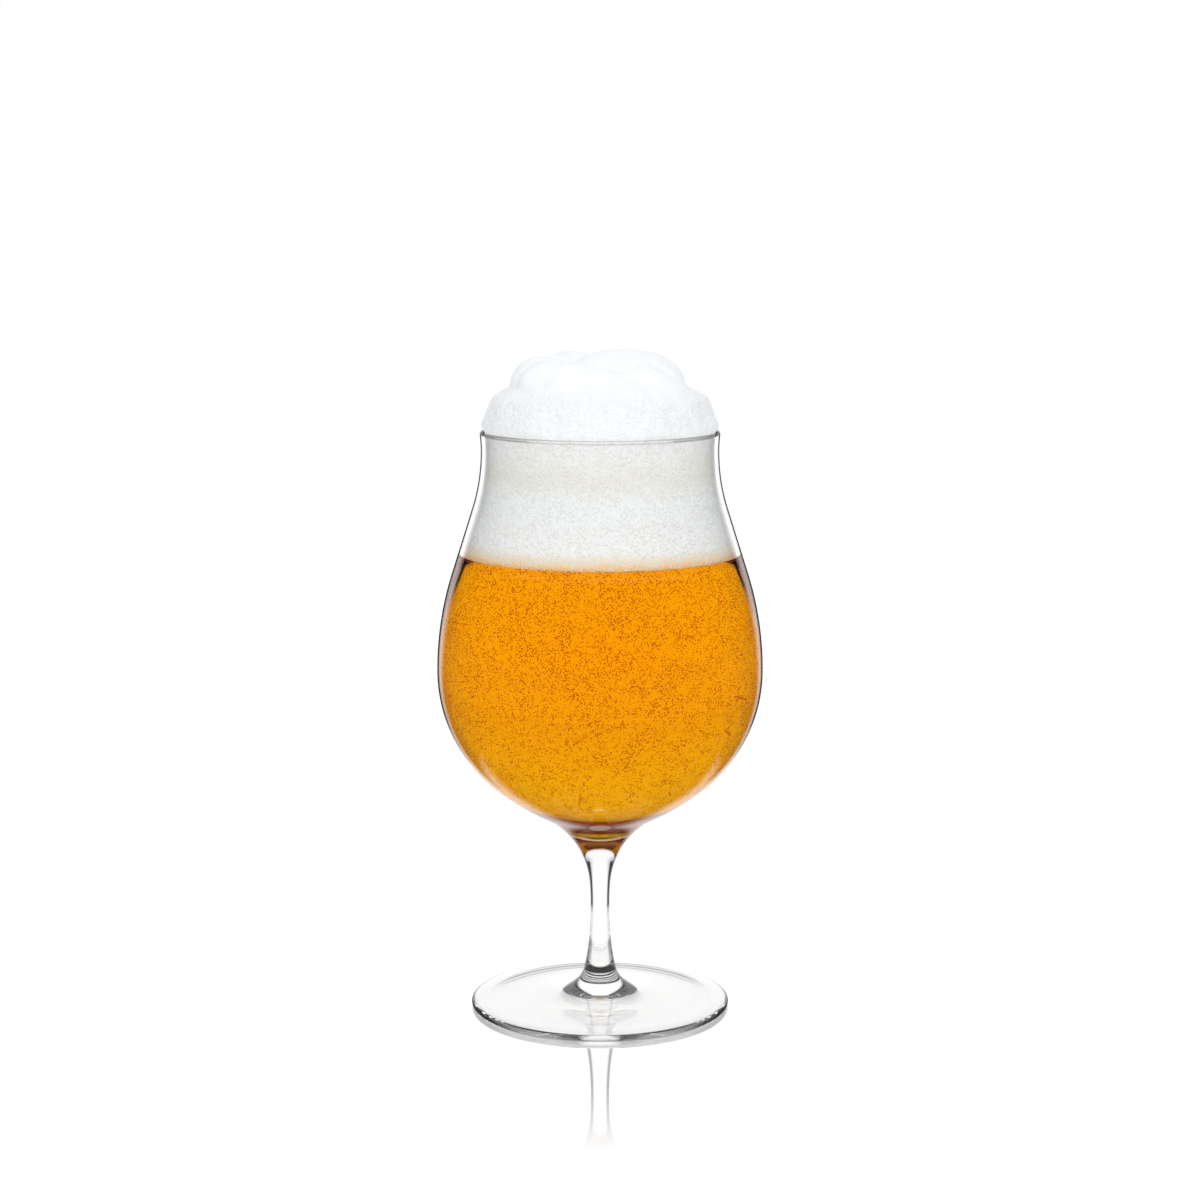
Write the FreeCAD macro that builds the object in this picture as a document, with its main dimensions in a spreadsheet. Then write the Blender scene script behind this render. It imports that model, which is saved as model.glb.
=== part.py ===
"""A stemmed glass of beer: the blown glass, the beer in its bowl and the head of foam on top.

The glass stands on the XY plane with its axis on Z. Heights are measured up from the plane that
it stands on and radii from the axis. The front of the glass faces -Y. Millimetres and degrees.
"""

import FreeCAD, Part
import os
from math import acos, asin, atan2, cos, degrees, radians, sin, sqrt

import Sketcher
from FreeCAD import Vector

SIZES = [
    # The foot
    ("foot_diameter", 79.4, "across the outside of the foot"),
    ("foot_edge_thickness", 2.1, "thickness of the rounded edge of the foot"),
    ("foot_slope_angle", 5.9, "slope of the top of the foot"),
    ("foot_kick_height", 3.0, "how far the underside rises at the middle"),
    ("rest_ring_width", 1.2, "flat ring that the glass stands on"),
    # The stem
    ("stem_diameter", 5.8, "narrowest part of the stem"),
    ("stem_straight_length", 2.9, "straight part of the stem"),
    ("stem_foot_sweep_radius", 86.0, "long curve of the stem above the foot"),
    ("stem_foot_sweep_angle", 11.7, "how far that curve turns"),
    ("stem_foot_flare_radius", 9.0, "short curve from the stem onto the foot"),
    ("stem_bowl_sweep_radius", 72.0, "long curve of the stem below the bowl"),
    ("stem_bowl_sweep_angle", 5.0, "how far that curve turns"),
    ("stem_bowl_flare_radius", 26.0, "short curve from the stem into the bowl"),
    # The bowl
    ("belly_diameter", 99.0, "widest part of the bowl"),
    ("belly_lower_radius", 46.2, "curve of the side below the belly"),
    ("belly_lower_angle", 51.3, "how far that curve turns"),
    ("bowl_bottom_radius", 80.7, "flatter curve of the underside of the bowl"),
    ("bowl_floor_radius", 14.0, "rounding of the bottom of the inside"),
    ("shoulder_height", 67.1, "from the belly up to the waist"),
    ("shoulder_straight_length", 21.0, "straight part of the side between its two curves"),
    ("shoulder_waist_share", 0.371, "part of the shoulder's curving that the waist takes"),
    ("rim_diameter", 72.6, "across the outside of the rim"),
    ("rim_flare", 0.45, "how far the rim stands out past the waist, each side"),
    ("rim_height", 6.0, "from the waist up to the rim"),
    ("wall_thickness", 1.5, "thickness of the wall of the bowl"),
    ("lip_rounding_share", 0.45, "rounding of each edge of the rim, as a share of the wall"),
    # The contents
    ("fill_height", 35.8, "from the belly up to the surface of the beer"),
    ("wet_clearance", 0.15, "gap between the wall and what is in the glass"),
    ("foam_neck_drop", 0.8, "from the rim down to where the foam leaves the wall"),
    ("foam_root_depth", 3.0, "how deep the crown of foam is rooted below the rim"),
    ("foam_root_inset", 1.2, "how far the root of the crown stays inside the wall"),
    ("skirt_base_radius", 35.0, "widest part of the foam above the rim"),
    ("skirt_base_height", 2.2, "height of that part above the rim"),
    ("skirt_top_radius", 32.4, "top of the rough skirt of foam"),
    ("skirt_top_height", 9.8, "height of the top of the skirt above the rim"),
    ("notch_radius", 25.2, "narrow part between the skirt and the cap"),
    ("notch_height", 14.0, "height of that part above the rim"),
    ("cap_radius", 24.0, "outside of the smooth cap of foam"),
    ("cap_side_height", 15.8, "height of the side of the cap above the rim"),
    ("cap_rise", 4.4, "how far the middle of the cap rises past its side"),
    ("skirt_rounding", 2.2, "rounding of the top of the skirt"),
    ("cap_rounding", 3.0, "rounding of the side of the cap"),
]

# Round folds of the cap: distance out from the axis, direction seen from above, height of the
# middle above the rim, and radius.
FOLDS = [
    ("left_fold", 17.9, 184.0, 12.7, 9.4),
    ("front_left_fold", 17.6, 236.0, 11.2, 9.6),
    ("front_right_fold", 17.4, 289.0, 9.6, 9.4),
    ("right_fold", 17.6, 345.0, 14.0, 8.0),
    ("back_right_fold", 17.2, 36.0, 12.0, 9.2),
    ("back_fold", 17.0, 87.0, 12.2, 9.8),
    ("back_left_fold", 17.2, 136.0, 11.4, 9.6),
    ("crest_fold", 5.6, 20.0, 7.3, 16.8),
]
FOLD_SIZES = ("reach", "direction", "lift", "radius")

OUTSIDE = "glass_outline.Constraints.{} / 1 mm"

# The numbers that a sketch gives to its two axes and to the points of a piece of geometry.
ACROSS, AXIS = range(-1, -3, -1)
ORIGIN = ACROSS
START, END, CENTRE = range(1, 4)


def make_sheet(document):
    """Writes every driving size to the sheet and gives back the plain numbers by name."""
    sheet = document.addObject("Spreadsheet::Sheet", "sizes")
    rows = list(SIZES)
    for name, *numbers in FOLDS:
        rows += [(f"{name}_{size}", number, name.replace("_", " ")) for size, number in zip(FOLD_SIZES, numbers)]
    for row, (name, number, note) in enumerate(rows, 1):
        sheet.set(f"A{row}", name)
        sheet.set(f"B{row}", str(number))
        sheet.set(f"C{row}", note)
        sheet.setAlias(f"B{row}", name)
    document.recompute()
    return {name: number for name, number, _ in rows}


def polar(centre, radius, angle):
    """The point at an angle on a circle, in radius and height."""
    return (centre[0] + radius * cos(radians(angle)), centre[1] + radius * sin(radians(angle)))


class Layout:
    """Where the arcs of the outline start out, worked out from the driving sizes."""

    def __init__(self, size):
        slope = radians(size["foot_slope_angle"])
        turn = radians(size["stem_foot_sweep_angle"])
        edge = size["foot_edge_thickness"] / 2
        stem = size["stem_diameter"] / 2
        sweep = size["stem_foot_sweep_radius"]
        flare = size["stem_foot_flare_radius"]
        self.edge_centre = (size["foot_diameter"] / 2 - edge, edge)
        flare_out = stem + sweep - (sweep - flare) * cos(turn)
        rise = flare + self.edge_centre[0] * sin(slope) + edge * (1 + cos(slope)) - flare_out * sin(slope)
        self.foot_flare_centre = (flare_out, rise / cos(slope))
        self.foot_sweep_centre = (stem + sweep, self.foot_flare_centre[1] + (sweep - flare) * sin(turn))

        sweep = size["stem_bowl_sweep_radius"]
        flare = size["stem_bowl_flare_radius"]
        turn = radians(size["stem_bowl_sweep_angle"])
        stem_top = self.foot_sweep_centre[1] + size["stem_straight_length"]
        self.bowl_sweep_centre = (stem + sweep, stem_top)
        self.bowl_flare_centre = (stem + sweep - (sweep - flare) * cos(turn), stem_top + (sweep - flare) * sin(turn))

        belly = size["belly_diameter"] / 2
        lower = size["belly_lower_radius"]
        bottom = size["bowl_bottom_radius"]
        turn = radians(size["belly_lower_angle"])
        bottom_out = belly - lower + (lower - bottom) * cos(turn)
        across = self.bowl_flare_centre[0] - bottom_out
        up = sqrt((bottom + flare) ** 2 - across**2)
        self.bottom_centre = (bottom_out, self.bowl_flare_centre[1] + up)
        self.bottom_angle = degrees(atan2(up, across))
        self.belly_level = self.bottom_centre[1] + (lower - bottom) * sin(turn)
        self.lower_centre = (belly - lower, self.belly_level)

        self.waist = size["rim_diameter"] / 2 - size["rim_flare"]
        swell = belly - self.waist
        height = size["shoulder_height"]
        straight = size["shoulder_straight_length"]
        curving = (swell**2 + height**2 - straight**2) / (2 * swell)
        self.waist_radius = size["shoulder_waist_share"] * curving
        self.upper_radius = curving - self.waist_radius
        self.shoulder_angle = degrees(atan2(height, curving - swell) - atan2(straight, curving))
        self.waist_level = self.belly_level + height
        self.upper_centre = (belly - self.upper_radius, self.belly_level)
        self.waist_centre = (self.waist + self.waist_radius, self.waist_level)
        self.rim_radius = (size["rim_flare"] ** 2 + size["rim_height"] ** 2) / (2 * size["rim_flare"])
        self.rim_centre = (self.waist + self.rim_radius, self.waist_level)
        self.rim_level = self.waist_level + size["rim_height"]


class Outline:
    """A closed outline of lines and arcs in a sketch, with radius across and height up."""

    def __init__(self, body, name):
        self.sketch = body.newObject("Sketcher::SketchObject", name)
        plane = next(part for part in body.Origin.OriginFeatures if part.Role == "XZ_Plane")
        self.sketch.AttachmentSupport = [(plane, "")]
        self.sketch.MapMode = "FlatFace"

    def line(self, first, last):
        return self.sketch.addGeometry(Part.LineSegment(Vector(*first, 0), Vector(*last, 0)), False)

    def arc(self, centre, radius, first, last):
        """An arc that runs anticlockwise from the first angle to the last."""
        circle = Part.Circle(Vector(*centre, 0), Vector(0, 0, 1), radius)
        return self.sketch.addGeometry(Part.ArcOfCircle(circle, radians(first), radians(last)), False)

    def tie(self, kind, *places):
        self.sketch.addConstraint(Sketcher.Constraint(kind, *places))

    def size(self, name, formula, kind, *places):
        """A named dimension that follows a formula of the driving sizes."""
        index = self.measure(name, kind, *places, driving=True)
        self.sketch.setExpression(f"Constraints.{name}", formula)
        return index

    def measure(self, name, kind, *places, driving=False):
        """A named dimension, which other outlines can read when it isn't a driving one."""
        index = self.sketch.addConstraint(Sketcher.Constraint(kind, *places, self.now(kind, *places)))
        self.sketch.renameConstraint(index, name)
        if not driving:
            self.sketch.setDriving(index, False)
        return index

    def now(self, kind, *places):
        """What a dimension measures before the outline is solved."""
        if kind == "Radius":
            return self.sketch.Geometry[places[0]].Radius
        if kind == "Angle":
            piece = self.sketch.Geometry[places[0]]
            return piece.LastParameter - piece.FirstParameter
        if kind == "Distance":
            return self.sketch.Geometry[places[0]].length()
        first = self.sketch.getPoint(places[0], places[1])
        last = self.sketch.getPoint(places[2], places[3])
        return last.x - first.x if kind == "DistanceX" else last.y - first.y

    def out(self, name, formula, *place):
        self.size(name, formula, "DistanceX", ORIGIN, START, *place)

    def up(self, name, formula, *place):
        self.size(name, formula, "DistanceY", ORIGIN, START, *place)


def revolve(body, outline, name, kind="PartDesign::Revolution"):
    """Turns an outline once round the axis, to add or to take away."""
    feature = body.newObject(kind, name)
    feature.Profile = outline.sketch
    feature.ReferenceAxis = (outline.sketch, ["V_Axis"])
    feature.Angle = 360
    outline.sketch.Visibility = False
    return feature


def rings_at(shape, radius, height, reach=0.01):
    """Names of the round edges of a turned solid at one radius and height."""
    names = []
    for number, edge in enumerate(shape.Edges, 1):
        box = edge.BoundBox
        flat = box.ZLength < reach and abs(box.ZMin - height) < reach
        if flat and abs(max(box.XMax, box.YMax) - radius) < reach:
            names.append(f"Edge{number}")
    return names


def draw_foot(draw, size, lay):
    """The underside, the rest ring, the rounded edge and the sloping top of the foot."""
    kick = size["foot_kick_height"]
    edge_out = lay.edge_centre[0]
    ring_in = edge_out - size["rest_ring_width"]
    hollow = (ring_in**2 + kick**2) / (2 * kick)
    slope = size["foot_slope_angle"]
    edge = lay.edge_centre[1]
    flare = size["stem_foot_flare_radius"]
    turn = size["stem_foot_sweep_angle"]
    under = draw.arc((0, kick - hollow), hollow, degrees(acos(ring_in / hollow)), 90)
    ring = draw.line((ring_in, 0), (edge_out, 0))
    rounded = draw.arc(lay.edge_centre, edge, -90, 90 - slope)
    top = draw.line(polar(lay.edge_centre, edge, 90 - slope), polar(lay.foot_flare_centre, flare, 270 - slope))
    onto_stem = draw.arc(lay.foot_flare_centre, flare, 180 + turn, 270 - slope)
    draw.tie("PointOnObject", under, CENTRE, AXIS)
    draw.tie("PointOnObject", under, END, AXIS)
    draw.tie("PointOnObject", ring, START, ACROSS)
    draw.tie("PointOnObject", ring, END, ACROSS)
    draw.tie("Coincident", under, START, ring, START)
    draw.tie("Tangent", ring, END, rounded, START)
    draw.tie("Tangent", rounded, END, top, START)
    draw.tie("Tangent", top, END, onto_stem, END)
    draw.up("kick", "sizes.foot_kick_height", under, END)
    draw.size("ring_width", "sizes.rest_ring_width", "Distance", ring)
    draw.size("edge_radius", "sizes.foot_edge_thickness / 2", "Radius", rounded)
    draw.out("edge_out", "(sizes.foot_diameter - sizes.foot_edge_thickness) / 2", rounded, CENTRE)
    draw.size("edge_turn", "180 - sizes.foot_slope_angle", "Angle", rounded)
    draw.size("foot_flare", "sizes.stem_foot_flare_radius", "Radius", onto_stem)
    return under, onto_stem


def draw_stem(draw, size, lay, onto_stem):
    """The stem, from the flare of the foot to the flare of the bowl."""
    foot_turn = size["stem_foot_sweep_angle"]
    bowl_turn = size["stem_bowl_sweep_angle"]
    stem = size["stem_diameter"] / 2
    above_foot = draw.arc(lay.foot_sweep_centre, size["stem_foot_sweep_radius"], 180, 180 + foot_turn)
    straight = draw.line((stem, lay.foot_sweep_centre[1]), (stem, lay.bowl_sweep_centre[1]))
    below_bowl = draw.arc(lay.bowl_sweep_centre, size["stem_bowl_sweep_radius"], 180 - bowl_turn, 180)
    into_bowl = draw.arc(
        lay.bowl_flare_centre, size["stem_bowl_flare_radius"], 180 - lay.bottom_angle, 180 - bowl_turn
    )
    draw.tie("Tangent", onto_stem, START, above_foot, END)
    draw.tie("Tangent", above_foot, START, straight, START)
    draw.tie("Vertical", straight)
    draw.tie("Tangent", straight, END, below_bowl, END)
    draw.tie("Tangent", below_bowl, START, into_bowl, END)
    draw.out("stem_out", "sizes.stem_diameter / 2", straight, START)
    draw.size("stem_straight", "sizes.stem_straight_length", "Distance", straight)
    draw.size("foot_sweep", "sizes.stem_foot_sweep_radius", "Radius", above_foot)
    draw.size("foot_sweep_turn", "sizes.stem_foot_sweep_angle", "Angle", above_foot)
    draw.size("bowl_sweep", "sizes.stem_bowl_sweep_radius", "Radius", below_bowl)
    draw.size("bowl_sweep_turn", "sizes.stem_bowl_sweep_angle", "Angle", below_bowl)
    draw.size("bowl_flare", "sizes.stem_bowl_flare_radius", "Radius", into_bowl)
    return into_bowl


def draw_shoulder(draw, lay, lower, inset):
    """The side from the belly to the waist, set in from the outside of the wall."""
    angle = lay.shoulder_angle
    upper_radius = lay.upper_radius - inset
    waist_radius = lay.waist_radius + inset
    upper = draw.arc(lay.upper_centre, upper_radius, 0, angle)
    straight = draw.line(
        polar(lay.upper_centre, upper_radius, angle), polar(lay.waist_centre, waist_radius, 180 + angle)
    )
    waist = draw.arc(lay.waist_centre, waist_radius, 180, 180 + angle)
    draw.tie("Tangent", lower, END, upper, START)
    draw.tie("Horizontal", upper, CENTRE, upper, START)
    draw.tie("Tangent", upper, END, straight, START)
    draw.tie("Tangent", straight, END, waist, END)
    draw.tie("Horizontal", waist, CENTRE, waist, START)
    draw.size("straight", "sizes.shoulder_straight_length", "Distance", straight)
    return upper, waist


def draw_glass_outline(body, size, lay):
    """The outside of the whole glass, with the bowl still solid."""
    draw = Outline(body, "glass_outline")
    under, onto_stem = draw_foot(draw, size, lay)
    into_bowl = draw_stem(draw, size, lay, onto_stem)
    turn = size["belly_lower_angle"]
    bottom = draw.arc(lay.bottom_centre, size["bowl_bottom_radius"], -lay.bottom_angle, -turn)
    lower = draw.arc(lay.lower_centre, size["belly_lower_radius"], -turn, 0)
    upper, waist = draw_shoulder(draw, lay, lower, 0)
    lip = degrees(asin(size["rim_height"] / lay.rim_radius))
    rim = draw.arc(lay.rim_centre, lay.rim_radius, 180 - lip, 180)
    cover = draw.line((0, lay.rim_level), (size["rim_diameter"] / 2, lay.rim_level))
    middle = draw.line((0, size["foot_kick_height"]), (0, lay.rim_level))
    draw.tie("Tangent", into_bowl, START, bottom, START)
    draw.tie("Tangent", bottom, END, lower, START)
    draw.tie("Tangent", waist, START, rim, END)
    draw.tie("Coincident", rim, START, cover, END)
    draw.tie("Horizontal", cover)
    draw.tie("PointOnObject", cover, START, AXIS)
    draw.tie("Coincident", cover, START, middle, END)
    draw.tie("Coincident", middle, START, under, END)

    swell = "(sizes.belly_diameter - sizes.rim_diameter + 2 * sizes.rim_flare) / 2"
    curving = f"(({swell})^2 + sizes.shoulder_height^2 - sizes.shoulder_straight_length^2) / (2 * {swell})"
    draw.size("bottom_radius", "sizes.bowl_bottom_radius", "Radius", bottom)
    draw.size("lower_radius", "sizes.belly_lower_radius", "Radius", lower)
    draw.size("lower_turn", "sizes.belly_lower_angle", "Angle", lower)
    draw.out("belly_out", "sizes.belly_diameter / 2", upper, START)
    draw.size("waist_radius", f"sizes.shoulder_waist_share * {curving}", "Radius", waist)
    draw.size("shoulder", "sizes.shoulder_height", "DistanceY", upper, START, waist, START)
    draw.out("waist_out", "sizes.rim_diameter / 2 - sizes.rim_flare", waist, START)
    draw.out("rim_out", "sizes.rim_diameter / 2", rim, START)
    draw.size("rim_rise", "sizes.rim_height", "DistanceY", waist, START, rim, START)
    draw.measure("upper_radius", "Radius", upper)
    draw.measure("rim_radius", "Radius", rim)
    draw.measure("belly_level", "DistanceY", ORIGIN, START, upper, START)
    draw.measure("rim_level", "DistanceY", ORIGIN, START, rim, START)
    return draw


def draw_inside(body, name, size, lay, inset, formula):
    """The inside of the bowl, set in from the outside by the wall and any gap beside it."""
    draw = Outline(body, name)
    turn = size["belly_lower_angle"]
    floor_radius = size["bowl_floor_radius"] - (inset - size["wall_thickness"])
    bottom_radius = size["bowl_bottom_radius"] - inset
    drop = sqrt((bottom_radius - floor_radius) ** 2 - lay.bottom_centre[0] ** 2)
    floor_centre = (0, lay.bottom_centre[1] - drop)
    meet = degrees(atan2(drop, -lay.bottom_centre[0]))
    lip = degrees(asin(size["rim_height"] / (lay.rim_radius + inset)))

    floor = draw.arc(floor_centre, floor_radius, -90, -meet)
    bottom = draw.arc(lay.bottom_centre, bottom_radius, -meet, -turn)
    lower = draw.arc(lay.lower_centre, size["belly_lower_radius"] - inset, -turn, 0)
    upper, waist = draw_shoulder(draw, lay, lower, inset)
    rim = draw.arc(lay.rim_centre, lay.rim_radius + inset, 180 - lip, 180)
    cover = draw.line((0, lay.rim_level), polar(lay.rim_centre, lay.rim_radius + inset, 180 - lip))
    middle = draw.line((0, floor_centre[1] - floor_radius), (0, lay.rim_level))
    draw.tie("PointOnObject", floor, CENTRE, AXIS)
    draw.tie("PointOnObject", floor, START, AXIS)
    draw.tie("Tangent", floor, END, bottom, START)
    draw.tie("Tangent", bottom, END, lower, START)
    draw.tie("Tangent", waist, START, rim, END)
    draw.tie("Coincident", rim, START, cover, END)
    draw.tie("Horizontal", cover)
    draw.tie("PointOnObject", cover, START, AXIS)
    draw.tie("Coincident", cover, START, middle, END)
    draw.tie("Coincident", middle, START, floor, START)

    draw.size("floor_radius", f"sizes.bowl_floor_radius + sizes.wall_thickness - {formula}", "Radius", floor)
    draw.size("bottom_radius", f"sizes.bowl_bottom_radius - {formula}", "Radius", bottom)
    draw.size("lower_radius", f"sizes.belly_lower_radius - {formula}", "Radius", lower)
    draw.size("lower_turn", "sizes.belly_lower_angle", "Angle", lower)
    draw.out("belly_out", f"sizes.belly_diameter / 2 - {formula}", upper, START)
    draw.up("belly_level", OUTSIDE.format("belly_level"), upper, START)
    draw.size("waist_radius", OUTSIDE.format("waist_radius") + f" + {formula}", "Radius", waist)
    draw.size("shoulder", "sizes.shoulder_height", "DistanceY", upper, START, waist, START)
    draw.out("waist_out", OUTSIDE.format("waist_out") + f" - {formula}", waist, START)
    draw.size("rim_radius", OUTSIDE.format("rim_radius") + f" + {formula}", "Radius", rim)
    draw.up("rim_level", OUTSIDE.format("rim_level"), rim, START)
    draw.measure("rim_in", "DistanceX", ORIGIN, START, rim, START)
    return draw


def make_glass(document, size, lay):
    """Foot, stem and bowl in one piece, with a rounded rim."""
    body = document.addObject("PartDesign::Body", "glass")
    revolve(body, draw_glass_outline(body, size, lay), "glass_solid")
    inside = draw_inside(body, "bowl_inside", size, lay, size["wall_thickness"], "sizes.wall_thickness")
    hollow = revolve(body, inside, "bowl_hollow", "PartDesign::Groove")
    document.recompute()

    outline = document.getObject("glass_outline")
    level = outline.getDatum("rim_level").Value
    outer = outline.getDatum("rim_out").Value
    inner = inside.sketch.getDatum("rim_in").Value
    rim = body.newObject("PartDesign::Fillet", "rim_rounding")
    rim.Base = (hollow, rings_at(hollow.Shape, outer, level) + rings_at(hollow.Shape, inner, level))
    rim.Radius = size["lip_rounding_share"] * size["wall_thickness"]
    rim.setExpression("Radius", "sizes.lip_rounding_share * sizes.wall_thickness")
    return body


def make_contents(document, size, lay, name):
    """A body that fills the whole bowl up to the rim, just clear of its wall."""
    body = document.addObject("PartDesign::Body", name)
    inset = size["wall_thickness"] + size["wet_clearance"]
    formula = "(sizes.wall_thickness + sizes.wet_clearance)"
    draw = draw_inside(body, f"{name}_outline", size, lay, inset, formula)
    revolve(body, draw, f"{name}_filling")
    return body


def cut_across(body, name, formula, level, keep_below):
    """Cuts a body flat at a height that follows a formula, and keeps what is below or above."""
    sketch = body.newObject("Sketcher::SketchObject", f"{name}_sketch")
    plane = next(part for part in body.Origin.OriginFeatures if part.Role == "XY_Plane")
    sketch.AttachmentSupport = [(plane, "")]
    sketch.MapMode = "FlatFace"
    sketch.AttachmentOffset = FreeCAD.Placement(Vector(0, 0, level), FreeCAD.Rotation())
    sketch.setExpression("AttachmentOffset.Base.z", formula)
    disc = sketch.addGeometry(Part.Circle(Vector(0, 0, 0), Vector(0, 0, 1), level), False)
    sketch.addConstraint(Sketcher.Constraint("Coincident", disc, CENTRE, ORIGIN, START))
    sketch.addConstraint(Sketcher.Constraint("Radius", disc, level))
    sketch.renameConstraint(1, "reach")
    sketch.setExpression("Constraints.reach", "sizes.belly_diameter")
    cut = body.newObject("PartDesign::Pocket", name)
    cut.Profile = sketch
    cut.Type = "ThroughAll"
    cut.Reversed = keep_below
    sketch.Visibility = False
    return cut


def make_beer(document, size, lay):
    """The beer, up to its surface under the foam."""
    body = make_contents(document, size, lay, "beer")
    level = lay.belly_level + size["fill_height"]
    formula = OUTSIDE.format("belly_level") + " + sizes.fill_height"
    cut_across(body, "beer_surface", formula, level, keep_below=True)
    return body


def draw_crown(body, size, lay):
    """The foam above the rim: a rough skirt, a notch and a smooth cap."""
    draw = Outline(body, "crown_outline")
    rim = lay.rim_level
    root_out = lay.waist - size["wall_thickness"] - size["foam_root_inset"]
    places = [
        (root_out, rim - size["foam_root_depth"]),
        (size["skirt_base_radius"], rim + size["skirt_base_height"]),
        (size["skirt_top_radius"], rim + size["skirt_top_height"]),
        (size["notch_radius"], rim + size["notch_height"]),
        (size["cap_radius"], rim + size["cap_side_height"]),
    ]
    sides = [draw.line(first, last) for first, last in zip(places, places[1:])]
    rise = size["cap_rise"]
    reach = (size["cap_radius"] ** 2 + rise**2) / (2 * rise)
    peak = rim + size["cap_side_height"] + rise
    top = draw.arc((0, peak - reach), reach, degrees(acos(size["cap_radius"] / reach)), 90)
    root = draw.line((0, places[0][1]), places[0])
    middle = draw.line((0, places[0][1]), (0, peak))
    for first, last in zip(sides, sides[1:]):
        draw.tie("Coincident", first, END, last, START)
    draw.tie("Coincident", sides[-1], END, top, START)
    draw.tie("PointOnObject", top, CENTRE, AXIS)
    draw.tie("PointOnObject", top, END, AXIS)
    draw.tie("Coincident", top, END, middle, END)
    draw.tie("PointOnObject", middle, START, AXIS)
    draw.tie("Coincident", middle, START, root, START)
    draw.tie("Coincident", root, END, sides[0], START)
    draw.tie("Horizontal", root)

    level = OUTSIDE.format("rim_level")
    wall = OUTSIDE.format("waist_out") + " - sizes.wall_thickness"
    draw.out("root_out", f"{wall} - sizes.foam_root_inset", sides[0], START)
    draw.up("root_level", f"{level} - sizes.foam_root_depth", sides[0], START)
    names = [("skirt_base", "skirt_base"), ("skirt_top", "skirt_top"), ("notch", "notch")]
    for side, (name, stem) in zip(sides, names):
        draw.out(f"{name}_out", f"sizes.{stem}_radius", side, END)
        draw.up(f"{name}_level", f"{level} + sizes.{stem}_height", side, END)
    draw.out("cap_out", "sizes.cap_radius", sides[-1], END)
    draw.up("cap_level", f"{level} + sizes.cap_side_height", sides[-1], END)
    draw.up("peak_level", f"{level} + sizes.cap_side_height + sizes.cap_rise", top, END)
    return draw


def make_foam(document, size, lay):
    """The head of foam: the part in the neck, the crown above the rim and the folds of its cap."""
    body = make_contents(document, size, lay, "foam_base")
    surface = OUTSIDE.format("belly_level") + " + sizes.fill_height"
    leave = OUTSIDE.format("rim_level") + " - sizes.foam_neck_drop"
    cut_across(body, "foam_bottom", surface, lay.belly_level + size["fill_height"], keep_below=False)
    cut_across(body, "foam_shoulder", leave, lay.rim_level - size["foam_neck_drop"], keep_below=True)
    crown = revolve(body, draw_crown(body, size, lay), "foam_crown")
    document.recompute()

    draw = document.getObject("crown_outline")
    rounded = crown
    for name in ("skirt", "cap"):
        corner = "skirt_top" if name == "skirt" else "cap"
        out = draw.getDatum(f"{corner}_out").Value
        level = draw.getDatum(f"{corner}_level").Value
        fillet = body.newObject("PartDesign::Fillet", f"{name}_rounding")
        fillet.Base = (rounded, rings_at(rounded.Shape, out, level))
        fillet.setExpression("Radius", f"sizes.{name}_rounding")
        document.recompute()
        rounded = fillet

    pieces = [body]
    for name, *_ in FOLDS:
        fold = document.addObject("Part::Sphere", name)
        fold.setExpression("Radius", f"sizes.{name}_radius")
        fold.setExpression("Placement.Base.x", f"sizes.{name}_reach * cos(sizes.{name}_direction * 1 deg)")
        fold.setExpression("Placement.Base.y", f"sizes.{name}_reach * sin(sizes.{name}_direction * 1 deg)")
        fold.setExpression("Placement.Base.z", OUTSIDE.format("rim_level") + f" + sizes.{name}_lift")
        pieces.append(fold)
    foam = document.addObject("Part::MultiFuse", "foam_head")
    foam.Shapes = pieces
    foam.Refine = True
    return foam


def check(document, parts):
    """Stops with a message when any object failed or any part isn't one sound solid."""
    failed = [item.Name for item in document.Objects if {"Invalid", "Error"} & set(item.State)]
    if failed:
        raise RuntimeError("objects that failed: " + ", ".join(failed))
    for part in parts:
        shape = part.Shape
        if shape.isNull() or not shape.isValid() or len(shape.Solids) != 1:
            raise RuntimeError(f"{part.Label} is not one sound solid")


def main():
    document = FreeCAD.newDocument("beer_glass")
    size = make_sheet(document)
    lay = Layout(size)
    parts = [make_glass(document, size, lay), make_beer(document, size, lay), make_foam(document, size, lay)]
    document.recompute()
    check(document, parts)
    os.makedirs("parts", exist_ok=True)
    for part in parts:
        part.Shape.exportStep(f"parts/{part.Label}.step")
        box = part.Shape.optimalBoundingBox(False)
        print(part.Label, round(part.Shape.Volume / 1000, 2), "ml, top at", round(box.ZMax, 2))


main()
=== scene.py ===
"""A stemmed glass of beer with a tall head of foam, standing on a glossy white table.

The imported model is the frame. The glass, the beer and the foam are turned again here in finer
meshes from the same sizes, in metres, and the foam gets its folds, its rough skirt and its bubbles.
"""

from __future__ import annotations

import logging
import random
from dataclasses import dataclass, field
from enum import Enum
from math import acos, asin, atan2, cos, degrees, exp, hypot, log1p, radians, sin, sqrt, tau

import bmesh
import bpy
from mathutils import Matrix, Vector, noise

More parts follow.
